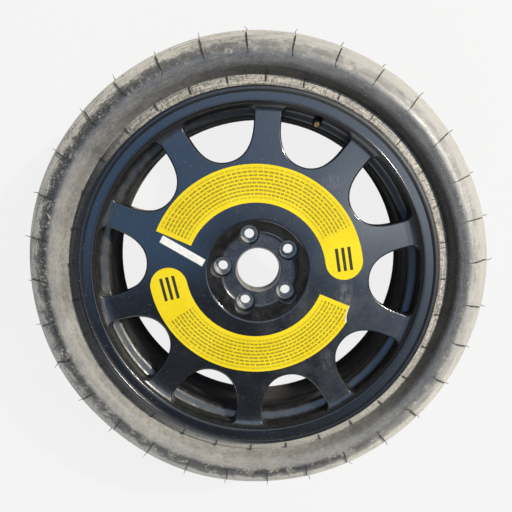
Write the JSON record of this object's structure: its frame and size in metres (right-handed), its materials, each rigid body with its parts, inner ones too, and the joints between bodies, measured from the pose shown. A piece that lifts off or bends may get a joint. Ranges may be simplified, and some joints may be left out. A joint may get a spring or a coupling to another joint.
{
  "type": "spare wheel",
  "caption": "Collapsible space-saver spare wheel: black cast alloy rim with windowed disc and bolt holes, folded deflated tyre, rubber valve and yellow ring-segment stickers.",
  "frame": {"origin": "centre of the hub's mounting face, on the wheel's axis", "axes": "+Z along the wheel's axis, out of the car, so the disc's face looks up; +Y towards the top of the pictured face, +X to its right"},
  "size_m": [0.7009, 0.701, 0.191],
  "materials": {
    "black_paint": "gloss black paint on cast alloy",
    "tyre_rubber": "dusty, scuffed",
    "valve_rubber": "satin",
    "brass": "bare, slightly tarnished",
    "spring_steel": "plain",
    "yellow_sticker": "satin film",
    "white_sticker": "satin film"
  },
  "bodies": {
    "wheel": {"wheel_rim": "black_paint", "tyre": "tyre_rubber", "valve_rubber": "valve_rubber", "valve_stem": "brass", "core_body": "brass", "core_spring": "spring_steel", "upper_label": "yellow_sticker", "lower_label": "yellow_sticker", "white_label": "white_sticker"},
    "valve_pin": {"core_pin": "brass", "core_seal": "valve_rubber"}
  },
  "joints": [
    {"name": "valve_pin_press", "type": "slide", "parent": "wheel", "child": "valve_pin", "axis": [0.1259, 0.318, -0.9397], "range_m": [0, 0.0012], "stiffness_N_per_m": 800, "deforming": ["core_spring"]}
  ]
}
